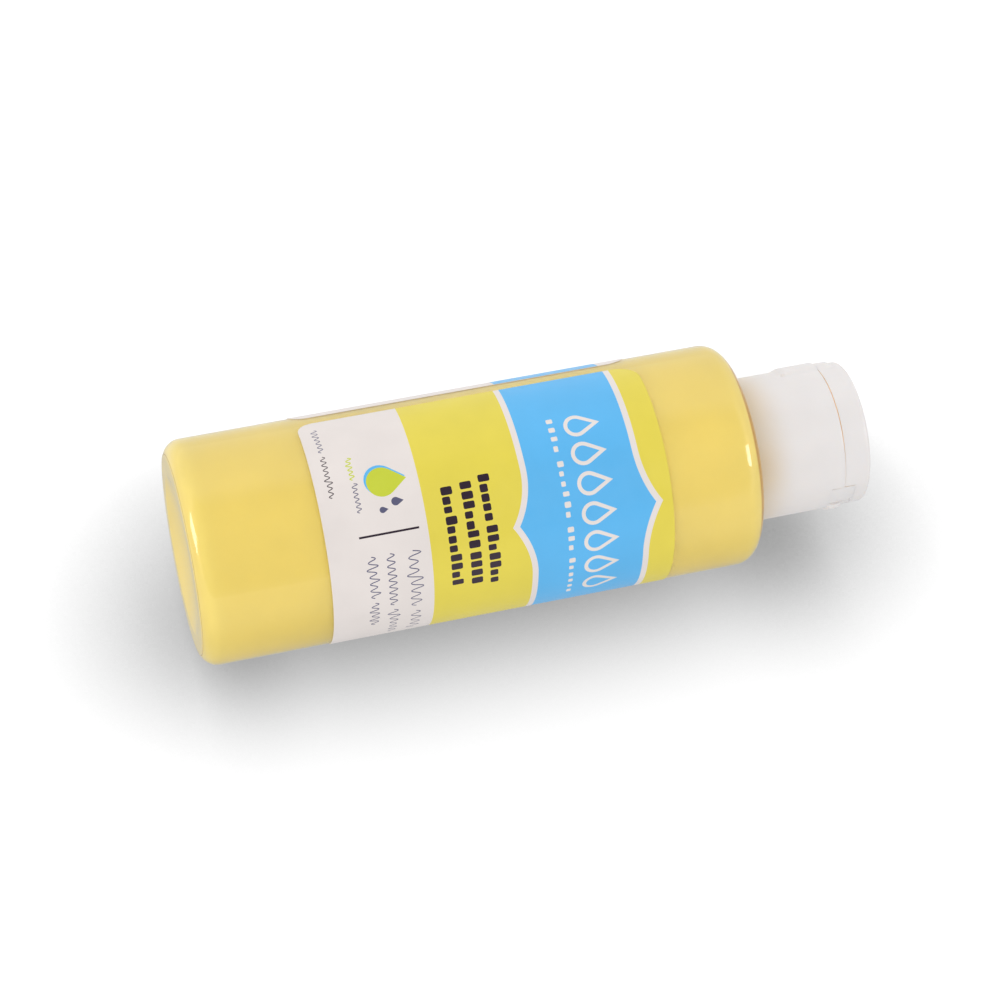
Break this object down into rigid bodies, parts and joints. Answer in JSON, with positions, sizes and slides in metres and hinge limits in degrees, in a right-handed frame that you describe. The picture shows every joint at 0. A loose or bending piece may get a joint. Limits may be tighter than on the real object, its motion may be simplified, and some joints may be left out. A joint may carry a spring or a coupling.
{
  "type": "squeeze paint bottle",
  "caption": "Round clear squeeze bottle of yellow craft paint with wrapped labels and a white screw-on flip-top cap.",
  "frame": {"origin": "centre of the base, on the plane that the bottle stands on", "axes": "+Z along the bottle's axis, up to the cap; -Y out of the middle of the front label"},
  "size_m": [0.041, 0.041, 0.125],
  "materials": {
    "clear_plastic": "clear, glossy, blow-moulded",
    "paint": "opaque liquid acrylic paint, butter yellow",
    "front_film": "printed plastic film, blue, lime and white",
    "back_film": "printed plastic film, white",
    "foam": "fine-celled polyethylene foam",
    "cap_white": "satin moulded polypropylene"
  },
  "bodies": {
    "bottle": {"bottle": "clear_plastic", "paint_fill": "paint", "front_label": "front_film", "back_label": "back_film"},
    "liner": {"cap_liner": "foam"},
    "cap": {"cap_body": "cap_white", "hinge_web": "cap_white", "hinge_strap_left": "cap_white", "hinge_strap_right": "cap_white"},
    "lid": {"flip_lid": "cap_white"}
  },
  "joints": [
    {"name": "cap_rise", "type": "slide", "parent": "bottle", "child": "liner", "axis": [0, 0, 1], "range_m": [0, 0.00476]},
    {"name": "cap_twist", "type": "hinge", "parent": "liner", "child": "cap", "pos_m": [0, 0, 0.112], "axis": [0, 0, 1], "range_deg": [0, 540]},
    {"name": "lid_flip", "type": "hinge", "parent": "cap", "child": "lid", "pos_m": [0.01267, -0.00387, 0.1201], "axis": [0.2924, 0.9563, 0], "range_deg": [0, 150], "deforming": ["hinge_web", "hinge_strap_left", "hinge_strap_right"]}
  ],
  "couplings": [
    {"joint": "cap_rise", "follows": "cap_twist", "m_per_rad": 0.00050532}
  ]
}
